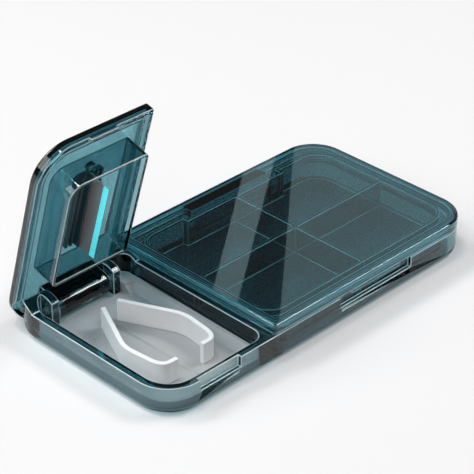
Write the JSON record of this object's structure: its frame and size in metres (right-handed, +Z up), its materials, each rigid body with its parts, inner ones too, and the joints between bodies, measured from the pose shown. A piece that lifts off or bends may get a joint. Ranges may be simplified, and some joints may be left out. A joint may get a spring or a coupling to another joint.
{
  "type": "pill splitter",
  "caption": "Pocket pill splitter: see-through teal case with a bladed lid over a V-shaped pill guard, and a lidded storage tray with compartments.",
  "frame": {"origin": "centre of the case's outline, on its flat underside", "axes": "+X along the case from the cutter end to the storage end, -Y towards the front with the thumb notches, +Y towards the hinges, +Z up"},
  "size_m": [0.12, 0.0644, 0.0593],
  "materials": {
    "clear_teal": "clear tinted gloss",
    "grey_insert": "satin",
    "white_guard": "satin",
    "blade_steel": "ground edge",
    "dark_grip": "dark gloss",
    "pin_steel": "plain"
  },
  "bodies": {
    "base": {"base_shell": "clear_teal", "storage_tray": "clear_teal", "pill_insert": "grey_insert", "pill_guard_left": "white_guard", "pill_guard_right": "white_guard", "cutter_hinge_pin_left": "pin_steel", "cutter_hinge_pin_right": "pin_steel", "storage_hinge_pin_left": "pin_steel", "storage_hinge_pin_right": "pin_steel"},
    "cutter_cover": {"cutter_lid": "clear_teal", "blade_housing": "clear_teal", "blade": "blade_steel", "blade_clamp_left": "dark_grip", "blade_clamp_right": "dark_grip", "blade_clip": "dark_grip"},
    "storage_cover": {"storage_lid": "clear_teal"}
  },
  "joints": [
    {"name": "cutter_lid_hinge", "type": "hinge", "parent": "base", "child": "cutter_cover", "pos_m": [-0.04085, 0.0244, 0.0041], "axis": [-1, 0, 0], "range_deg": [-73.6, 0]},
    {"name": "storage_lid_hinge", "type": "hinge", "parent": "base", "child": "storage_cover", "pos_m": [0.01915, 0.0282, 0.0041], "axis": [-1, 0, 0], "range_deg": [0, 95]}
  ]
}
